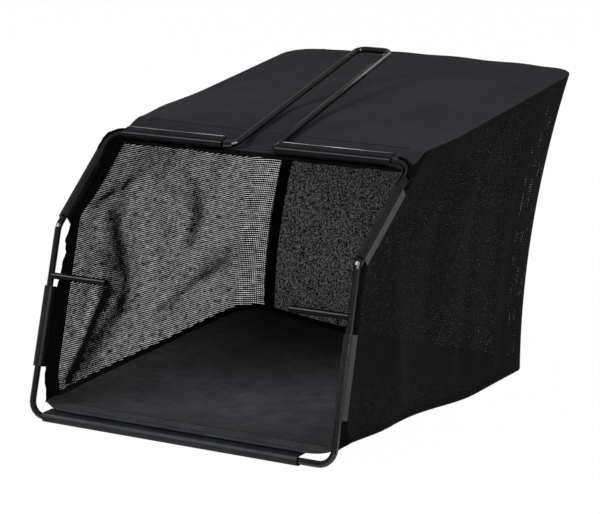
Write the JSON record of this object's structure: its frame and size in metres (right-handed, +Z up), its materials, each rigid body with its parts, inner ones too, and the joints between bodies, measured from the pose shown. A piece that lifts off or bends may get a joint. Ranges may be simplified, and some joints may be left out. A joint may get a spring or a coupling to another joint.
{
  "type": "grass collection bag",
  "caption": "Cloth and net grass collection bag hung on a bent steel rod frame with a carry handle, plastic clip profiles and two inward hanging pins.",
  "frame": {"origin": "on the floor under the middle of the frame's bottom bar, on the flat underside of the bottom clip", "axes": "+Y from the mouth to the back, +Z up, +X to the right seen from in front of the mouth"},
  "size_m": [0.3289, 0.5006, 0.3009],
  "materials": {
    "frame_enamel": "gloss black enamel",
    "clip_plastic": "extruded, half gloss",
    "woven_cloth": "plain woven polyester",
    "side_net": "open net in rows",
    "back_net": "close net, speckled",
    "binding_tape": "woven tape"
  },
  "bodies": {
    "root": {"wire_frame": "frame_enamel", "left_hanging_pin": "frame_enamel", "right_hanging_pin": "frame_enamel", "bottom_clip": "clip_plastic", "top_left_clip": "clip_plastic", "top_right_clip": "clip_plastic", "left_lower_clip": "clip_plastic", "left_upper_clip": "clip_plastic", "right_lower_clip": "clip_plastic", "right_upper_clip": "clip_plastic", "top_panel": "woven_cloth", "floor_panel": "woven_cloth", "left_front_band": "woven_cloth", "right_front_band": "woven_cloth", "left_net_panel": "side_net", "right_net_panel": "side_net", "back_panel": "back_net", "top_seam_tape": "binding_tape", "floor_seam_tape": "binding_tape", "back_left_tape": "binding_tape", "back_right_tape": "binding_tape"}
  },
  "joints": []
}
